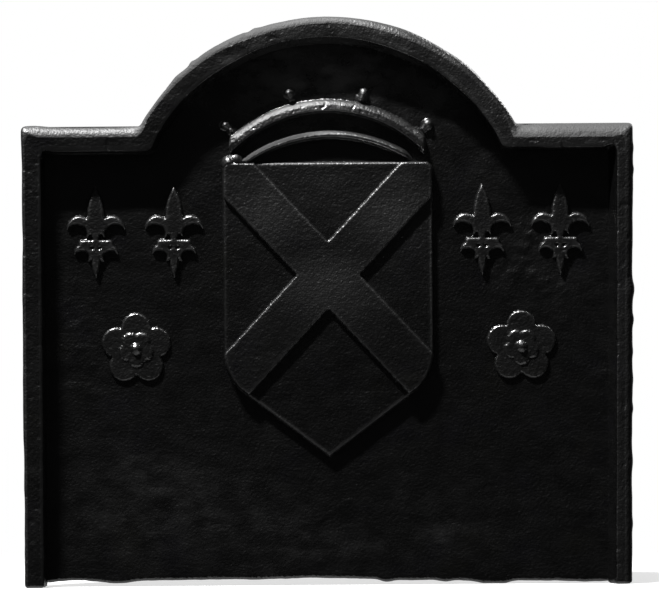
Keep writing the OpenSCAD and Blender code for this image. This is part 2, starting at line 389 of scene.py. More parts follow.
def place(length, f, t):
    """x and z of the point a share f of the way along a length, a distance t in from the outer edge."""
    ledge = SHOULDER - t
    if length in (0, 4):
        side, foot = (-1, LEFT_FOOT) if length == 0 else (1, RIGHT_FOOT)
        z = ledge * (f if length == 0 else 1 - f)
        return side * half_width(t, z, foot), z
    radius = ARCH_RADIUS - t
    spring = np.sqrt(radius ** 2 - (ledge - ARCH_CENTRE) ** 2)
    if length == 2:
        angle = (2 * f - 1) * np.arctan2(spring, ledge - ARCH_CENTRE)
        return radius * np.sin(angle), ARCH_CENTRE + radius * np.cos(angle)
    side, foot = (-1, LEFT_FOOT) if length == 1 else (1, RIGHT_FOOT)
    corner = half_width(t, ledge, foot)
    towards_corner = 1 - f if length == 1 else f
    return side * (spring + towards_corner * (corner - spring)), ledge + 0 * f


def steps(count):
    """Equal steps between 0 and 1, without the two themselves."""
    return (np.arange(1, count + 1) / (count + 1))[None, :]


def section(g):
    """Closed sections at stations g: distances in from the outer edge, heights over the back, and wear."""
    columns = [np.interp(g, SECTIONS[:, 0], c)[:, None] for c in SECTIONS.T[1:]]
    outer, belly, crest, lip, drop, foot, round_wear, face_wear = columns
    top = DEPTH - CREST_SPARE

    def face(t):
        return top - belly * ((crest - t) / crest) ** 2

    back = np.radians(np.linspace(270, 180, 5))[None, :]
    homewards = 1 - np.arange(BACK_POINTS)[None, :] / BACK_POINTS
    slope = np.arctan(2 * belly * (crest - outer) / crest ** 2)
    round_start = face(outer) - outer * np.cos(slope)
    turn = np.linspace(0, 1, 15)[None, :] * (math.pi / 2 - slope)
    round_end = outer * (1 - np.sin(slope))
    over = round_end + (crest - round_end) * steps(9)
    none = np.zeros_like(crest)
    lip_wear = 0.3 + face_wear
    lip_top = top - drop
    wall = lip_top - PLATE
    parts = [
        # the back's outer corner, the outer side, the round, the face and its crest
        (BACK_ROUND * (1 + np.cos(back)), BACK_ROUND * (1 + np.sin(back)), none),
        (none, BACK_ROUND + (round_start - BACK_ROUND) * steps(10), 0.1 + none),
        (outer * (1 - np.cos(turn)), round_start + outer * np.sin(turn), round_wear),
        (over, face(over), face_wear),
        (crest, top + none, lip_wear),
        # the lip, its edge and the side under it, down to the plate
        (crest + (lip - crest) * steps(4), top - drop * steps(4) ** 1.5, lip_wear),
        (lip + CRISP * np.array([[-2, -1, 0]]), lip_top, none),
        (lip + 0.1 * CRISP * np.array([[1, 2]]), lip_top - CRISP * np.array([[1, 2]]), none),
        (lip + (foot - lip) * steps(11), lip_top - wall * steps(11), none),
        # what is inside the plate, and the back
        *[(foot + beyond, height + none, none) for beyond, height in INSIDE],
        (BACK_ROUND + (foot - INSIDE_END - BACK_ROUND) * homewards, none, none),
    ]
    counts = [max(t.shape[1], height.shape[1]) for t, height, _ in parts]
    t, height, wear = [
        np.hstack([np.broadcast_to(part[i], (len(g), count)) for part, count in zip(parts, counts)])
        for i in range(3)
    ]
    return soften(t), soften(height), wear


def soften(values):
    """Rounds a closed section's corners a little."""
    for _ in range(2):
        values = 0.25 * np.roll(values, 1, axis=1) + 0.5 * values + 0.25 * np.roll(values, -1, axis=1)
    return values


# Lumps and dips on the outer edge: x, z, radius, height
EDGE_LUMPS = [
    (-135, 524, 4, 2.2),
    (-149, 508, 9, 1.4),
    (-79, 555, 3, -1.6),
    (-72, 558, 4, 1.0),
    (80, 552, 40, 0.8),
    (180, 475, 30, 0.8),
    (306, 294, 9, 2.4),
    (306, 264, 6, 1.6),
    (305, 232, 5, 0.8),
    (305, 205, 6, 0.8),
    (304, 175, 5, 1.0),
    (304, 122, 9, 1.0),
    (303, 60, 6, 0.8),
    (306, 436, 5, 0.8),
    (306, 414, 4, 0.8),
    (183, 463, 6, 0.8),
    (-235, 461, 45, -0.8),
    (-170, 461, 14, 0.6),
    (-292, 461, 14, 1.2),
    (199, 461, 10, -1.3),
    (-116, 534, 36, 1.6),
    (140, 512, 24, 1.9),
]


def grid_normals(grid):
    """Outward normals of a tube given as rings of points."""
    along = np.gradient(grid, axis=0)
    around = np.roll(grid, -1, axis=1) - np.roll(grid, 1, axis=1)
    normal = np.cross(around, along)
    length = np.linalg.norm(normal, axis=2, keepdims=True)
    return normal / np.maximum(length, 1e-9)


def round_corner(grid, ring, reach, sigma):
    """Rounds the moulding where it turns, at the given ring."""
    window = np.arange(ring - 3 * reach, ring + 3 * reach + 1)
    offsets = np.arange(-4 * reach, 4 * reach + 1)
    weights = np.exp(-0.5 * (offsets / sigma) ** 2)
    weights /= weights.sum()
    smooth = np.stack([np.tensordot(weights, grid[i + offsets], axes=1) for i in window])
    share = np.exp(-((window - ring) / reach) ** 2)[:, None, None]
    grid[window] = (1 - share) * grid[window] + share * smooth


def moulding_grid():
    """The moulding as rings of points, their wear, and the rings where its lengths meet."""
    counts = [round(mm / STATION) for mm in LENGTH_MM]
    rings, ends = [], [0]
    for length, count in enumerate(counts):
        f = np.linspace(0, 1, count + 1)
        if length:
            f = f[1:]
        t, height, wear = section(length + f)
        x, z = place(length, f[:, None], t)
        rings.append(np.stack([x, BACK_Y - height, z + 0 * x, wear], axis=2))
        ends.append(ends[-1] + count)
    rings = np.vstack(rings)
    grid = rings[:, :, :3].copy()
    for ring in ends[1:-1]:
        at_corner = ring in (ends[1], ends[4])
        round_corner(grid, ring, *(CORNER_TURN if at_corner else ARCH_TURN))
    return grid, rings[:, :, 3], ends


def at_plate(y, start, end, under):
    """1 where the moulding meets the plate's face: it rises between two heights over the face, and
    stops at a depth under it."""
    return ramp(y, FACE_Y - start, FACE_Y - end) * (y < FACE_Y + under)


def roughen(grid):
    """The sand-cast skin of the moulding: it fades out where the moulding runs into the plate."""
    points = grid.reshape(-1, 3)
    normals = grid_normals(grid).reshape(-1, 3)
    fade = 1 - at_plate(points[:, 1], 5, 1.5, 0.5)
    shape = (
        0.40 * noise(points, 70, seed=71)
        + 0.32 * noise(points, 24, seed=72)
        + 0.09 * noise(points, 9, seed=73)
        + 0.04 * noise(points, 4, seed=74)
        - 0.25
    )
    shape -= 0.5 * ramp(noise(points, 6.5, seed=75), 0.62, 0.9)
    for x, z, radius, height in EDGE_LUMPS:
        away = (points[:, 0] - x) ** 2 + (points[:, 2] - z) ** 2 + 0.15 * (points[:, 1] - FRONT_Y - 14) ** 2
        shape += height * np.exp(-away / radius ** 2)
    back = on_back(points)
    shape = (1 - back) * shape - back * back_relief(points)
    points = points + normals * (shape * fade)[:, None]
    sunk = at_plate(points[:, 1], 6, 1, 5)
    points[:, 1] -= sunk * swell(points[:, 0], points[:, 2])
    return points.reshape(grid.shape)


BOX_CLEARANCE = 0.02
FOOT_ROUND = 3.0
FOOT_RINGS = 4  # the rings that the feet's rounding reaches


def inside_box(points):
    """Keeps points inside the CAD model's box."""
    low, high = np.array(cad_box[0]) / MM, np.array(cad_box[1]) / MM
    return np.clip(points, low + BOX_CLEARANCE, high - BOX_CLEARANCE)


def round_feet(grid):
    """Draws in the last few millimetres of both feet, so that their lower edges are rounded."""
    for ring in range(-FOOT_RINGS, FOOT_RINGS):
        points = grid[ring]
        z = np.clip(points[:, 2], 0, FOOT_ROUND)
        inset = FOOT_ROUND - np.sqrt(FOOT_ROUND ** 2 - (FOOT_ROUND - z) ** 2)
        outwards = points - points.mean(0)
        outwards[:, 2] = 0
        reach = np.linalg.norm(outwards, axis=1, keepdims=True)
        points -= outwards / np.maximum(reach, 1e-6) * inset[:, None]
        points[:, 2] = np.maximum(points[:, 2], 0)


def make_mouldings():
    """The five lengths of the edge moulding, cut from one sweep."""
    grid, wear, ends = moulding_grid()
    dull = on_back(grid.reshape(-1, 3)).reshape(wear.shape)
    grid = roughen(grid)
    round_feet(grid)
    grid = inside_box(grid)
    normals = grid_normals(grid)
    for node, start, end in zip(LENGTHS, ends, ends[1:]):
        own = slice(start, end + 1)
        points, faces, caps = capped_tube(grid[own])
        worn = np.append(wear[own], [0, 0])
        duller = np.append(dull[own], [0, 0])
        shared = np.vstack([normals[own].reshape(-1, 3), np.zeros((2, 3))])
        make_object("cast_" + node, points, faces, node, worn, duller, caps, shared)


# ---------------------------------------------------------------- back plate

PLATE_STEP = 2.1  # between the rows of the plate's face
BACK_STEP = 8.0  # between the rows of its back
LOWER_ROUND, BACK_LOWER_ROUND = 4.0, 3.0  # radii of its lower edge, in front and at the back
PLATE_INSET = 17.0  # the plate runs on under the moulding, to this far from the outer edge
RIM_DIP = 0.6  # how far the plate's back dips at its rim, where it runs in under the moulding
RIM_WIDTH = 4.0

# Sags of the lower edge, and hollows where the drop is less than 0: middle x, half width, drop
BOTTOM_LUMPS = [
    (-284, 16, 2.2),
    (-214, 20, 3.0),
    (57, 8, 2.4),
    (117, 7, 1.4),
    (156, 9, 1.6),
    (176, 8, 2.6),
    (163, 16, 1.6),
    (258, 16, 1.4),
    (0, 60, -2.6),
    (-100, 36, -1.2),
]


def plate_bottom(x):
    """The ragged lower edge's height at each x."""
    t = (x + LEFT_FOOT) / (LEFT_FOOT + RIGHT_FOOT)
    p = on_face(x, np.zeros_like(x))
    edge = (
        LIFT_LEFT + t * (LIFT_RIGHT - LIFT_LEFT)
        + 0.4 * noise(p, 26, seed=81)
        + 0.3 * noise(p, 7, seed=82)
    )
    for cx, radius, drop in BOTTOM_LUMPS:
        edge -= drop * np.exp(-((x - cx) / radius) ** 2)
    return np.maximum(edge, 0.3)


def plate_top(x):
    """The plate's upper edge, hidden in the moulding."""
    radius = ARCH_RADIUS - PLATE_INSET
    under_arch = ARCH_CENTRE + np.sqrt(np.clip(radius ** 2 - x ** 2, 0, None))
    return np.maximum(under_arch * (np.abs(x) < radius), SHOULDER - PLATE_INSET)


def plate_rows(bottom, top):
    """Rows of z and y round the plate: down the front, under the lower edge and up the back."""
    front_round, back_round = LOWER_ROUND, BACK_LOWER_ROUND
    rows = []
    for v in np.linspace(1, 0, round(CROWN / PLATE_STEP)):
        rows.append((bottom + front_round + v * (top - bottom - front_round), FACE_Y))
    for a in np.radians(np.linspace(15, 90, 6)):
        rows.append((bottom + front_round * (1 - math.sin(a)), FACE_Y + front_round * (1 - math.cos(a))))
    for t in (0.25, 0.5, 0.75, 1):
        rows.append((bottom, FACE_Y + front_round + t * (PLATE - front_round - back_round)))
    for a in np.radians(np.linspace(20, 90, 4)):
        rows.append((bottom + back_round * (1 - math.cos(a)), BACK_Y - back_round * (1 - math.sin(a))))
    for v in np.linspace(0, 1, round(CROWN / BACK_STEP))[1:]:
        rows.append((bottom + back_round + v * (top - bottom - back_round), BACK_Y))
    z = np.array([z for z, _ in rows])
    y = np.array([np.full(len(bottom), y) for _, y in rows])
    return z, y


def make_plate():
    """The back plate, swept from its left side to its right."""
    columns = round(2 * TOP_HALF / PLATE_STEP)
    u = np.linspace(-1, 1, columns)
    x_top = u * (TOP_HALF - PLATE_INSET)
    z, y = plate_rows(plate_bottom(x_top), plate_top(x_top))
    left, right = half_width(PLATE_INSET, z, LEFT_FOOT), half_width(PLATE_INSET, z, RIGHT_FOOT)
    x = np.where(u < 0, u * left, u * right)
    points = np.stack([x.ravel(), y.ravel(), z.ravel()], axis=1)
    from_side = np.broadcast_to((1 - np.abs(u)) * (TOP_HALF - PLATE_INSET), z.shape)
    from_rim = np.minimum(from_side, plate_top(x_top) - z).ravel()
    dull = on_back(points)
    frontness = ramp(BACK_Y - points[:, 1], 4, PLATE)
    backness = ramp(points[:, 1] - FACE_Y, PLATE - 4, PLATE - 0.5)
    edgeness = 1 - np.maximum(frontness, backness)
    relief = swell(points[:, 0], points[:, 2]) + grain(points[:, 0], points[:, 2])
    points[:, 1] -= frontness * relief
    points[:, 1] -= backness * (back_relief(points) + RIM_DIP * (1 - ramp(from_rim, 0, RIM_WIDTH)))
    points[:, 2] += edgeness * 0.5 * layers(points, 8, seed=95, count=2)
    points = inside_box(points)
    grid = points.reshape(z.shape + (3,)).transpose(1, 0, 2)[::-1]
    dull = np.append(dull.reshape(z.shape).T[::-1].ravel(), [0, 0])
    points, faces, caps = capped_tube(grid)
    make_object("cast_plate", points, faces, "back_plate", np.zeros(len(points)), dull, caps)


# ---------------------------------------------------------------- relief pieces

FINE = 0.8  # between the points of a relief
BASE_Y = FACE_Y + 4.0  # relief meshes are closed inside the plate, at this depth
CUT = 0.22  # share of a relief's height at which its blurred sides meet what it stands on
KEPT = 0.96  # share of its deepest at which the mesh of a relief's side ends
RAY_START = 20.0  # in front of the model, where rays start towards a solid
SKIN_FROM, SKIN_FULL = 0.2, 2.0  # heights over which a relief's fine roughness sets in
SKIN_APART = 50.0  # between one piece's roughness and the next's
UPPER = 0.55  # share of its height from which a relief counts as its flat top


def blur(field, sigma):
    """Gaussian blur of a 2-D field, sigma in millimetres."""
    sigma /= FINE
    reach = int(math.ceil(3.5 * sigma))
    k = np.exp(-0.5 * (np.arange(-reach, reach + 1) / sigma) ** 2)
    k /= k.sum()
    for axis in (0, 1):
        field = np.apply_along_axis(lambda row: np.convolve(row, k, "same"), axis, field)
    return field


def cast_heights(node, xs, zs, floor_y):
    """Height of a solid's front above floor_y at each point of a grid, 0 where it isn't."""
    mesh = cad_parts[node].data
    corners = [v.co / MM for v in mesh.vertices]
    tree = BVHTree.FromPolygons(corners, [tuple(p.vertices) for p in mesh.polygons])
    forward = Vector((0, 1, 0))
    heights = np.zeros((len(zs), len(xs)))
    for i, z in enumerate(zs):
        for j, x in enumerate(xs):
            hit = tree.ray_cast(Vector((x, FRONT_Y - RAY_START, z)), forward)[0]
            if hit is not None:
                heights[i, j] = max(floor_y - hit.y, 0)
    return heights


def softened(heights, sigma, cut=CUT):
    """Rounds a relief's upper edges. Its sides run on down below 0, into what it stands on, so that
    its foot is crisp."""
    full = heights.max()
    return (blur(heights, sigma) - cut * full) / (1 - cut)


def upright(heights, strip):
    """A flat relief with upright sides in place of sloping ones, and a strip off each lower side."""
    full = heights.max()
    upper = heights > UPPER * full
    return full * (upper & np.roll(upper, round(strip / FINE), axis=0))


def without_corner_contacts(cells):
    """Fills one cell wherever two kept cells touch only at a corner."""
    while True:
        a, b, c, d = cells[:-1, :-1], cells[:-1, 1:], cells[1:, :-1], cells[1:, 1:]
        first, second = a & d & ~b & ~c, b & c & ~a & ~d
        if not (first.any() or second.any()):
            return cells
        b |= first
        a |= second


def relief_mesh(node, xs, zs, surface, own, wear):
    """A closed mesh over the cells where the piece's own height shows, its surface at the given heights."""
    shows = own > KEPT * own.min()
    cells = shows[:-1, :-1] | shows[:-1, 1:] | shows[1:, :-1] | shows[1:, 1:]
    cells = without_corner_contacts(cells)
    rows, cols = own.shape
    index = np.arange(rows * cols).reshape(rows, cols)
    quads = np.stack([index[:-1, :-1], index[:-1, 1:], index[1:, 1:], index[1:, :-1]], axis=2)[cells]
    used = np.unique(quads)
    renumber = np.full(rows * cols, -1)
    renumber[used] = np.arange(len(used))
    quads = renumber[quads]
    gx, gz = np.meshgrid(xs, zs)
    top = np.stack([gx.ravel(), FACE_Y - surface.ravel(), gz.ravel()], axis=1)[used]

    starts, ends = quads.ravel(), np.roll(quads, -1, axis=1).ravel()
    both = set(zip(starts.tolist(), ends.tolist()))
    border = [(a, b) for a, b in sorted(both) if (b, a) not in both]
    rim = sorted({a for a, _ in border})
    below = {a: len(top) + i for i, a in enumerate(rim)}
    low = top[rim].copy()
    low[:, 1] = BASE_Y
    faces = quads.tolist() + [(b, a, below[a], below[b]) for a, b in border]
    points = np.vstack([top, low])
    worn = np.concatenate([wear.ravel()[used], np.zeros(len(low))])
    obj = make_object("cast_" + node, points, faces, node, worn)

    bm = bmesh.new()
    bm.from_mesh(obj.data)
    open_edges = [e for e in bm.edges if e.is_boundary]
    bmesh.ops.triangle_fill(bm, edges=open_edges, use_beauty=False, normal=(0, 1, 0))
    bmesh.ops.recalc_face_normals(bm, faces=bm.faces)
    for face in bm.faces:
        face.smooth = True
    bm.to_mesh(obj.data)
    bm.free()
    return obj


def grid_over(node, margin=6.0):
    """x and z of the points over a CAD node."""
    low, high = box_mm(node)
    xs = np.arange(low[0] - margin, high[0] + margin, FINE)
    zs = np.arange(low[2] - margin, high[2] + margin, FINE)
    return xs, zs


def field(function, xs, zs):
    """A function of x and z over a grid."""
    gx, gz = np.meshgrid(xs, zs)
    return function(gx.ravel(), gz.ravel()).reshape(gx.shape)


def skin(own, xs, zs, seed, amount):
    """Fine roughness of a relief piece, which fades out at its foot."""
    def height(x, z):
        p = on_face(x, z)
        p[:, 1] = SKIN_APART * seed
        worn = 0.5 * noise(p, 16, seed=101) + 0.35 * noise(p, 6, seed=102) + 0.18 * noise(p, 2.8, seed=103)
        return amount * (worn - 1.4 * ramp(noise(p, 4, seed=104), 0.65, 0.9))
    return ramp(own, SKIN_FROM, SKIN_FULL) * field(height, xs, zs)


def edge_wear(own, flat, sigma=1.8):
    """How worn the relief is: 1 along its upper edges, flat on its flats."""
    above = np.maximum(own, 0)
    convex = np.maximum(above - blur(above, sigma), 0) / max(own.max(), 1e-6)
    return np.clip(flat * ramp(own, 0.3, 2.0) + 3.5 * convex, 0, 1)


def lumps_on(lumps, xs, zs):
    """Extra lumps over a grid: x, z, half width, half height and height of each."""
    def height(x, z):
        total = np.zeros_like(x)
        for cx, cz, rx, rz, tall in lumps:
            total += tall * dome(x, z, cx, cz, rx, rz)
        return total
    return field(height, xs, zs)


def make_relief(node, softness, roughness, seed, lumps=(), cut=CUT, rubbing=1.0):
    """A relief piece that stands on the plate."""
    xs, zs = grid_over(node)
    own = softened(cast_heights(node, xs, zs, FACE_Y), softness, cut) + lumps_on(lumps, xs, zs)
    surface = field(swell, xs, zs) + own + skin(own, xs, zs, seed, roughness)
    relief_mesh(node, xs, zs, surface, own, rubbing * edge_wear(own, flat=0.35))


# Where the shield and the saltire are rubbed: middle x and z, half width, half height, amount
RUBBED = [
    (0, 400, 100, 40, 0.9),
    (-60, 375, 50, 40, 0.9),
    (70, 370, 50, 45, 1.0),
    (0, 300, 50, 34, 1.0),
    (-60, 260, 45, 40, 0.25),
]


def rubbed(x, z):
    """How much the shield and the saltire are rubbed, from 0 to 1."""
    total = np.zeros_like(x)
    for cx, cz, rx, rz, amount in RUBBED:
        total = np.maximum(total, amount * spot(x, z, cx, cz, rx, rz))
    return total


# The coronet's arcs: outer radius, then the section, as distances in from the outer edge and heights.
# Each has a steep side, a bevel that catches the light and a flatter top. The bow has a wide, low foot.
ARC_SOFTNESS, ARC_CUT = 0.6, 0.04
ARC_WEAR, BEVEL_WEAR = 0.3, 1.2  # all over an arc, and more on its bevel
BOW_RADIUS, BAND_RADIUS = 148.5, 154.0
BOW_SECTION = [(-1.5, 0), (3.0, 0.5), (3.6, 4.6), (7.6, 8.2), (14.6, 9.8), (15.0, 0)]
BAND_SECTION = [(-1.0, 0), (0.5, 4.5), (2.6, 7.6), (4.4, 8.2), (6.8, 7.4), (7.2, 0)]

# Where the bow runs into the outer pearls: x, z, half width, half height, height
BOW_LUMPS = [
    (-97, 453, 8, 14, 4.0),
    (97, 453, 14, 12, 1.2),
]

# Where the band's right end fades out, and where its left half stands higher
BAND_LUMPS = [
    (92, 427, 20, 20, -10),
    (-62, 436, 30, 20, 1.2),
]

# How the pearls differ, from left to right: the last is a broad boss
PEARL_LUMPS = [
    [(-97, 456, 6, 7, 2.5), (-103.5, 461.5, 6.5, 6.5, 4.0)],
    [(-39.5, 493, 6.5, 6.5, 5.5)],
    [(33, 488, 7, 6, 2.2), (36, 490, 6, 7, 1.5)],
    [(100, 460, 11, 11, 1.2)],
]

SALTIRE_STRIP = 1.6  # how far the saltire's lower sides stand in, measured upright

# The worn upper left end of the saltire: x, z, half width, half height, height above the plate
SALTIRE_END = [
    (-99, 423.5, 7.5, 8.0, 10.5),
    (-92, 427.0, 8.0, 7.0, 9.5),
]


def make_arc(node, radius, section, bevel, roughness, seed, lumps, worn):
    """The coronet's band or bow: its section, swept along its arc and cut off at its ends. Its bevel,
    which runs between two distances in, is worn, and most towards the left."""
    low, high = box_mm(node)
    xs, zs = grid_over(node)
    gx, gz = np.meshgrid(xs, zs)
    inwards = radius - np.hypot(gx - (low[0] + high[0]) / 2, gz - (high[2] - radius))
    distances, heights = zip(*section)
    arc = np.interp(inwards, distances, heights, 0, 0) * (gx > low[0]) * (gx < high[0]) * (gz > low[2])
    own = softened(arc, ARC_SOFTNESS, ARC_CUT) + lumps_on(lumps, xs, zs) * (arc > 0)
    surface = field(swell, xs, zs) + own + skin(own, xs, zs, seed, roughness)
    start, end = bevel
    on_bevel = ramp(inwards, start - 0.8, start + 0.2) * (1 - ramp(inwards, end, 1.25 * end))
    wear = ARC_WEAR + on_bevel * (BEVEL_WEAR + worn * ramp(-gx, -30, 45))
    relief_mesh(node, xs, zs, surface, own, wear)


def knuckle(x, z):
    """Height above the plate of the saltire's worn end."""
    height = np.full(x.shape, -10.0)
    for cx, cz, rx, rz, tall in SALTIRE_END:
        r = ((x - cx) / rx) ** 2 + ((z - cz) / rz) ** 2
        height = np.where(r < 1, np.maximum(height, tall * np.sqrt(np.clip(1 - r, 0, 1))), height)
    return height


def make_shield_and_saltire():
    """The shield, and the saltire that lies on it, over one grid."""
    xs, zs = grid_over("shield", 9.0)
    base = field(swell, xs, zs)
    shield = softened(cast_heights("shield", xs, zs, FACE_Y), sigma=0.75, cut=0.16)
    surface = base + shield + skin(shield, xs, zs, seed=1, amount=0.16)
    rub = field(rubbed, xs, zs)
    # its edges are worn more on the left half, but hardly along the left side itself
    left_half = ramp(-xs, 0, 60)[None, :]
    left_side = ramp(-xs, -shield_low[0] - 9, -shield_low[0] - 3)[None, :]
    wear = (2.4 + 1.0 * left_half - 2.6 * left_side) * edge_wear(shield, flat=0) + 0.5 * rub
    relief_mesh("shield", xs, zs, surface, shield, wear)

    field_height = np.maximum(shield, 0)
    laid_on = cast_heights("saltire", xs, zs, shield_low[1])
    saltire = softened(upright(laid_on, SALTIRE_STRIP), sigma=0.7)
    saltire = np.maximum(saltire, field(knuckle, xs, zs) - field_height)
    surface = base + field_height + saltire + skin(saltire, xs, zs, seed=2, amount=0.15)
    wear = 2.2 * edge_wear(saltire, flat=0.05) + 0.85 * rub
    relief_mesh("saltire", xs, zs, surface, saltire, wear)


# ---------------------------------------------------------------- nodes

def grey(level):
    return (level, level, level, 1)


class Graph:
    """Makes and joins the nodes of a material or a world: owner is either."""

    def __init__(self, owner):
        owner.use_nodes = True
        self.nodes, self.links = owner.node_tree.nodes, owner.node_tree.links

    def put(self, socket, value):
        """Gives a socket a value, or a link where the value is an output of another node."""
        if isinstance(value, bpy.types.NodeSocket):
            self.links.new(value, socket)
        else:
            socket.default_value = value

    def new(self, kind, inputs=(), **settings):
        """A new node's outputs. Its inputs go by name or number."""
        node = self.nodes.new("ShaderNode" + kind)
        for name, value in settings.items():
            setattr(node, name, value)
        for key, value in dict(inputs).items():
            self.put(node.inputs[key], value)
        return node.outputs

    def calc(self, kind, a, b, clamp=False):
        return self.new("Math", {0: a, 1: b}, operation=kind, use_clamp=clamp)[0]

    def blend(self, factor, a, b):
        """A blend of two colours."""
        return self.new("Mix", {"Factor": factor, 6: a, 7: b}, data_type="RGBA")[2]

    def remap(self, value, low, high, to_low=0.0, to_high=1.0, **settings):
        ends = {"From Min": low, "From Max": high, "To Min": to_low, "To Max": to_high}
        return self.new("MapRange", {"Value": value, **ends}, **settings)["Result"]

    def grainy(self, vector, scale, detail, roughness=0.5):
        """Noise with scale lumps to the metre."""
        inputs = {"Vector": vector, "Scale": scale, "Detail": detail, "Roughness": roughness}
        return self.new("TexNoise", inputs)["Fac"]

    def number(self, name):
        """One of the numbers that the meshes carry at their points."""
        return self.new("Attribute", attribute_name=name)["Fac"]

    def mix_shaders(self, factor, a, b):
        return self.new("MixShader", {0: factor, 1: a, 2: b})[0]


# ---------------------------------------------------------------- material

IRON_IOR = 2.4
# the last grey is the pale of dust, and also of the painted light laid into the shadow under the arch's top
IRON_DARK, IRON_PALE, DUST_AND_PAINTED_LIGHT_PALE = grey(0.0012), grey(0.0022), grey(0.0240)
WORN_COLOUR = (0.0040, 0.0040, 0.0039, 1)
VIOLET_TINT = (0.0022, 0.0020, 0.0038, 1)
OLIVE_TINT = (0.0032, 0.0030, 0.0014, 1)
GRAIN_DEPTH = 0.0006  # in metres


def iron_colour(g, coords, mottle, wear, patchy):
    """Near black, with faint violet and olive patches; paler where it is worn or dusty, and under the arch's
    top, where painted light is laid into the moulding's shadow.
    """
    base = g.blend(g.remap(mottle, 0.3, 0.7), IRON_DARK, IRON_PALE)
    base = g.blend(g.calc("MULTIPLY", wear, 0.7, clamp=True), base, WORN_COLOUR)
    violet = g.remap(g.grainy(coords, scale=17, detail=2), 0.55, 0.7, to_high=0.4)
    olive = g.remap(g.grainy(coords, scale=13, detail=2), 0.6, 0.72, to_high=0.35)
    base = g.blend(violet, base, VIOLET_TINT)
    base = g.blend(olive, base, OLIVE_TINT)
    return g.blend(g.calc("MULTIPLY", patchy, 0.33, clamp=True), base, DUST_AND_PAINTED_LIGHT_PALE)


def iron_roughness(g, mottle, wear, patchy):
    """Rougher where it is worn, or dusty or pale with painted light, and most of all on the back."""
    rough = g.remap(mottle, 0.3, 0.7, 0.22, 0.27)
    rough = g.calc("ADD", rough, g.calc("MULTIPLY", wear, 0.14))
    rough = g.calc("ADD", rough, g.calc("MULTIPLY", g.number("dull"), 0.35))
    return g.calc("ADD", rough, g.calc("MULTIPLY", g.calc("MINIMUM", patchy, 1.0), 0.05))


def iron_grain(g, coords):
    """Normals of the finest grain: sand and small pocks."""
    sand = g.grainy(coords, scale=560, detail=0)
    pocks = g.grainy(coords, scale=300, detail=1)
    height = g.calc("ADD", g.calc("MULTIPLY", sand, 0.5), pocks)
    return g.new("Bump", {"Height": height, "Strength": 1.0, "Distance": GRAIN_DEPTH})["Normal"]


def iron_material():
    """Blackened cast iron: near black and sandy, paler where it is worn or dusty, and where painted light is
    laid into the arch's shadow.
    """
    mat = bpy.data.materials.new("iron")
    g = Graph(mat)
    coords = g.new("TexCoord")["Object"]
    streaky = g.new("Mapping", {"Vector": coords, "Scale": (0.7, 1, 1.1)})["Vector"]
    mottle = g.grainy(streaky, scale=60, detail=5, roughness=0.6)
    wear = g.number("wear")
    # the dust, and the painted light under the arch's top, broken up by the mottle
    patchy = g.calc("MULTIPLY", g.number("dust"), g.remap(mottle, 0.35, 0.62, 0.35, 1.25))
    shader = g.nodes["Principled BSDF"].inputs
    g.put(shader["IOR"], IRON_IOR)
    g.put(shader["Base Color"], iron_colour(g, coords, mottle, wear, patchy))
    g.put(shader["Roughness"], iron_roughness(g, mottle, wear, patchy))
    g.put(shader["Normal"], iron_grain(g, coords))
    return mat


iron = iron_material()


# ---------------------------------------------------------------- stage

IMAGE_W = 659  # the photograph's width; one of its pixels is one millimetre at the moulding's round
IMAGE_MIDDLE = (1.0, 283.0)
ROUND_DEPTH = 10.0  # of the moulding's round, behind the front
CAMERA_DISTANCE = 5000.0
ROLL = math.radians(0.42)

# Lamps, in metres
AIM = Vector((0, 0, 0.3))
KEY_TOWARDS = Vector((-1.12, -1.0, 3.06))
KEY_ALONG = Vector((1.13, -0.18, 0.495))
KEY_DISTANCE, KEY_LENGTH, KEY_WIDTH = 4.0, 0.6, 0.12
KEY_LEVEL = 2.0
RIM_PLACE = (1.0, 1.3, 1.4)
RIM_LEVEL = 0.9
RIM_ANGLE = math.radians(15)

# Levels of the world: what the object mirrors in front of it, below it and behind it, and the even
# light that the room gives
MIRRORED_ROOM, MIRRORED_GROUND, MIRRORED_WALL = 0.003, 0.35, 0.3
ROOM_LEVEL = 0.3
WHITE = 1.0

# The floor, in metres
FLOOR_HALF = 8.0
FLOOR_DROP = 0.0002  # under the feet
FLOOR_COLOUR, FLOOR_GLOW = grey(0.5), 0.55
SHADOW_END, WHITE_FROM = 0.32, 0.75  # distances from the middle over which it turns white


def look_from(obj, place, target):
    """Puts an object at a place, in metres, and turns its -Z to a target."""
    obj.location = place
    obj.rotation_mode = "QUATERNION"
    obj.rotation_quaternion = (Vector(place) - Vector(target)).to_track_quat("Z", "Y")


def make_camera():
    """A camera a long way off, so that the view is nearly flat, and turned as the photograph is."""
    data = bpy.data.cameras.new("camera")
    data.sensor_fit = "HORIZONTAL"
    data.sensor_width = 36
    data.lens = data.sensor_width * CAMERA_DISTANCE / IMAGE_W
    data.clip_end = 50
    camera = bpy.data.objects.new("camera", data)
    bpy.context.scene.collection.objects.link(camera)
    round_y = FRONT_Y + ROUND_DEPTH
    place = Vector((IMAGE_MIDDLE[0], round_y - CAMERA_DISTANCE, IMAGE_MIDDLE[1])) * MM
    camera.matrix_world = (
        Matrix.Translation(place) @ Matrix.Rotation(ROLL, 4, "Y") @ Matrix.Rotation(math.radians(90), 4, "X")
    )
    bpy.context.scene.camera = camera


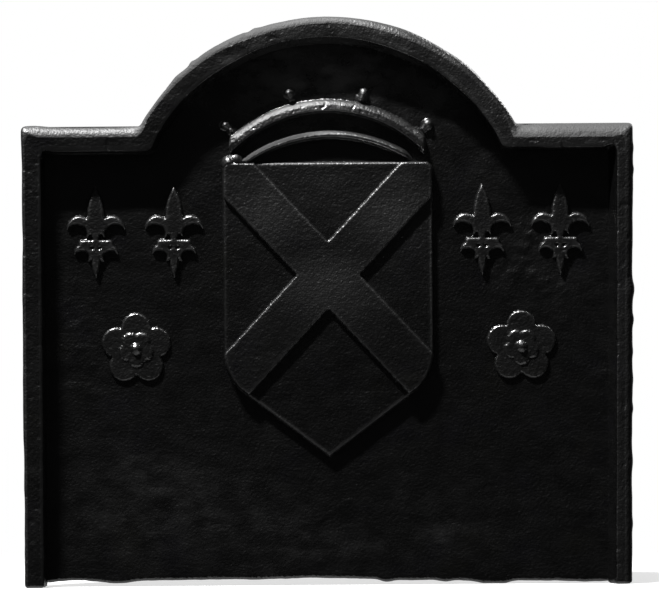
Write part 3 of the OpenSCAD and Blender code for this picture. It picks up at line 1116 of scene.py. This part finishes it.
def make_key():
    """A long narrow softbox, high on the left and a little in front. It rakes the front, which it
    gives 0.6 of a plain level; the room gives most of the rest."""
    middle = AIM + KEY_DISTANCE * KEY_TOWARDS.normalized()
    back = (middle - AIM).normalized()
    along = KEY_ALONG.normalized()
    along = (along - along.dot(back) * back).normalized()
    across = back.cross(along)
    data = bpy.data.lights.new("key", "AREA")
    data.shape = "RECTANGLE"
    data.size = KEY_LENGTH
    data.size_y = KEY_WIDTH
    data.energy = KEY_LEVEL * (math.pi * KEY_DISTANCE) ** 2
    key = bpy.data.objects.new("key", data)
    turn = Matrix((along, across, back)).transposed().to_4x4()
    key.matrix_world = Matrix.Translation(middle) @ turn
    bpy.context.scene.collection.objects.link(key)


def make_rim():
    """A weak light from behind, which the front doesn't see, so that the back and the sides read."""
    data = bpy.data.lights.new("rim", "SUN")
    data.energy = RIM_LEVEL
    data.angle = RIM_ANGLE
    rim = bpy.data.objects.new("rim", data)
    look_from(rim, RIM_PLACE, AIM)
    bpy.context.scene.collection.objects.link(rim)


def make_world():
    """White for the camera. The object mirrors a dim room in front of it, a pale ground below it and a
    pale wall behind it, and the room lights it evenly from all round."""
    world = bpy.data.worlds.new("studio")
    bpy.context.scene.world = world
    g = Graph(world)
    g.nodes.clear()

    def background(level):
        return g.new("Background", {"Color": grey(level)})[0]

    path = g.new("LightPath")
    parts = g.new("SeparateXYZ", {0: g.new("TexCoord")["Generated"]})
    behind = g.remap(parts["Y"], 0.6, 0.9)
    below = g.remap(parts["Z"], -0.6, -0.9)
    seen = g.calc("MAXIMUM", path["Is Camera Ray"], path["Is Transmission Ray"])
    front = g.mix_shaders(below, background(MIRRORED_ROOM), background(MIRRORED_GROUND))
    mirrored = g.mix_shaders(behind, front, background(MIRRORED_WALL))
    unseen = g.mix_shaders(path["Is Glossy Ray"], background(ROOM_LEVEL), mirrored)
    g.new("OutputWorld", {"Surface": g.mix_shaders(seen, unseen, background(WHITE))})


def floor_material():
    """Pale near the object, to take its shadow, and white from further out."""
    mat = bpy.data.materials.new("floor")
    g = Graph(mat)
    shader = g.nodes["Principled BSDF"]
    g.put(shader.inputs["Base Color"], FLOOR_COLOUR)
    g.put(shader.inputs["Roughness"], 1)
    g.put(shader.inputs["Specular IOR Level"], 0)
    g.put(shader.inputs["Emission Color"], grey(1))
    g.put(shader.inputs["Emission Strength"], FLOOR_GLOW)
    away = g.new("VectorMath", {0: g.new("TexCoord")["Object"]}, operation="LENGTH")["Value"]
    fade = g.remap(away, SHADOW_END, WHITE_FROM, interpolation_type="SMOOTHSTEP")
    mixed = g.mix_shaders(fade, shader.outputs[0], g.new("Emission")[0])
    g.put(g.nodes["Material Output"].inputs["Surface"], mixed)
    return mat


def make_floor():
    """A pale floor that keeps the object's shadow near it and runs out to white. Only the camera sees it."""
    mesh = bpy.data.meshes.new("floor")
    half = FLOOR_HALF
    corners = [(-half, -half, 0), (half, -half, 0), (half, half, 0), (-half, half, 0)]
    mesh.from_pydata(corners, [], [(0, 1, 2, 3)])
    mesh.materials.append(floor_material())
    floor = bpy.data.objects.new("floor", mesh)
    floor.location.z = -FLOOR_DROP
    floor.visible_diffuse = False
    floor.visible_glossy = False
    bpy.context.scene.collection.objects.link(floor)


# ---------------------------------------------------------------- build

make_plate()
make_mouldings()
make_shield_and_saltire()
make_arc(
    "coronet_band", BAND_RADIUS, BAND_SECTION,
    bevel=(0.4, 3.4), roughness=0.35, seed=10, lumps=BAND_LUMPS, worn=4.5,
)
make_arc(
    "coronet_bow", BOW_RADIUS, BOW_SECTION,
    bevel=(3.2, 7.4), roughness=0.6, seed=11, lumps=BOW_LUMPS, worn=1.2,
)
for i, name in enumerate(["outer_left", "inner_left", "inner_right", "outer_right"]):
    make_relief(
        "pearl_" + name, softness=0.6, roughness=0.35, seed=20 + i,
        lumps=PEARL_LUMPS[i], cut=0.08, rubbing=1.8,
    )
    make_relief("lily_" + name, softness=0.8, roughness=0.18, seed=30 + i)
for i, name in enumerate(["left", "right"]):
    make_relief("rose_" + name, softness=0.8, roughness=0.18, seed=40 + i)

make_camera()
make_key()
make_rim()
make_world()
make_floor()
bpy.context.scene.view_settings.view_transform = "Standard"
